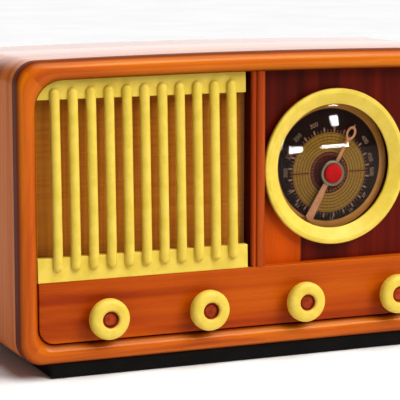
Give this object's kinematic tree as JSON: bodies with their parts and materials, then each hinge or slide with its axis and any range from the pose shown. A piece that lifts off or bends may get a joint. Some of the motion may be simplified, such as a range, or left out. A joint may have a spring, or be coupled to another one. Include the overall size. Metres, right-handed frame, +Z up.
{
  "type": "table radio",
  "caption": "Mains table radio in a lacquered wooden cabinet with a barred grille, a round dial with a pointer, and control knobs.",
  "frame": {"origin": "on the table, under the middle of the box that holds the whole radio", "axes": "+Z up, -Y out of the front, +X to the right seen from the front"},
  "size_m": [0.474, 0.2046, 0.301],
  "materials": {
    "cabinet_veneer": "gloss lacquer",
    "moulding_wood": "gloss lacquer",
    "fascia_veneer": "gloss lacquer",
    "dark_veneer": "gloss lacquer",
    "plain_ply": "bare",
    "hardboard": "matte",
    "black_paint": "satin",
    "cream_plastic": "gloss",
    "brown_plastic": "gloss",
    "red_plastic": "gloss",
    "black_moulding": "gloss",
    "brown_laminate": "satin",
    "speaker_cloth": "woven",
    "felt": "felt",
    "cord_thread": "woven",
    "cone_paper": "pressed paper",
    "clear_glass": "polished",
    "dial_print": "printed",
    "gilt_metal": "satin",
    "brass": "satin",
    "nickel": "polished",
    "steel": "bright",
    "zinc_sheet": "zinc plated",
    "pressed_steel": "satin",
    "black_iron": "satin",
    "aluminium_sheet": "satin",
    "black_rubber": "matte"
  },
  "bodies": {
    "cabinet": {"aerial_sockets": "brass", "aerial_strip": "brown_laminate", "aluminium_cans": "aluminium_sheet", "back_battens": "plain_ply", "back_cover": "hardboard", "back_screws": "steel", "baffle_board": "plain_ply", "bezel_ring": "cream_plastic", "cabinet_bottom": "cabinet_veneer", "cabinet_corners": "cabinet_veneer", "cabinet_side_left": "cabinet_veneer", "cabinet_side_right": "cabinet_veneer", "cabinet_top": "cabinet_veneer", "chassis": "zinc_sheet", "chassis_bolts": "steel", "dial_cord": "cord_thread", "dial_glass": "clear_glass", "dial_panel": "dark_veneer", "dial_plate": "dial_print", "fascia_board": "fascia_veneer", "felt_pads": "felt", "frame_bottom": "moulding_wood", "frame_left": "moulding_wood", "frame_right": "moulding_wood", "frame_top": "moulding_wood", "gang_bracket": "zinc_sheet", "gang_frame": "aluminium_sheet", "grille_bars": "cream_plastic", "grille_bottom_rail": "cream_plastic", "grille_cloth": "speaker_cloth", "grille_post": "moulding_wood", "grille_top_rail": "cream_plastic", "mains_gland": "black_rubber", "output_transformer": "black_iron", "plinth_rails": "black_paint", "potentiometers": "pressed_steel", "power_transformer": "black_iron", "speaker_basket": "pressed_steel", "speaker_magnet": "pressed_steel", "valve_bases": "black_moulding", "valve_glass": "clear_glass", "wave_switch": "brown_laminate"},
    "volume_set": {"volume_knob": "cream_plastic", "volume_insert": "brown_plastic", "volume_shaft": "brass"},
    "tone_set": {"tone_knob": "cream_plastic", "tone_insert": "brown_plastic", "tone_shaft": "brass"},
    "tuning_set": {"tuning_knob": "cream_plastic", "tuning_insert": "brown_plastic", "tuning_shaft": "brass"},
    "wave_set": {"wave_knob": "cream_plastic", "wave_insert": "brown_plastic", "wave_shaft": "brass"},
    "dial_set": {"pointer_needle": "gilt_metal", "pointer_hub": "nickel", "pointer_cap": "red_plastic", "dial_drum": "zinc_sheet", "gang_rotor": "aluminium_sheet"},
    "cone_set": {"speaker_cone": "cone_paper"}
  },
  "joints": [
    {"name": "volume_turn", "type": "hinge", "parent": "cabinet", "child": "volume_set", "pos_m": [-0.1533, -0.08375, 0.0566], "axis": [0, 1, 0], "range_deg": [0, 300]},
    {"name": "tone_turn", "type": "hinge", "parent": "cabinet", "child": "tone_set", "pos_m": [-0.0511, -0.08375, 0.0566], "axis": [0, 1, 0], "range_deg": [0, 270]},
    {"name": "wave_turn", "type": "hinge", "parent": "cabinet", "child": "wave_set", "pos_m": [0.1533, -0.08375, 0.0566], "axis": [0, 1, 0], "range_deg": [0, 60]},
    {"name": "dial_turn", "type": "hinge", "parent": "cabinet", "child": "dial_set", "pos_m": [0.0912, -0.08375, 0.1779], "axis": [0, 1, 0], "range_deg": [-119, 61]},
    {"name": "tuning_turn", "type": "hinge", "parent": "cabinet", "child": "tuning_set", "pos_m": [0.0511, -0.08375, 0.0566], "axis": [0, 1, 0], "range_deg": [-1195, 615]},
    {"name": "cone_travel", "type": "slide", "parent": "cabinet", "child": "cone_set", "axis": [0, 1, 0], "range_m": [-0.001, 0.001], "stiffness_N_per_m": 1500}
  ],
  "couplings": [
    {"joint": "tuning_turn", "follows": "dial_turn", "ratio": 10}
  ]
}
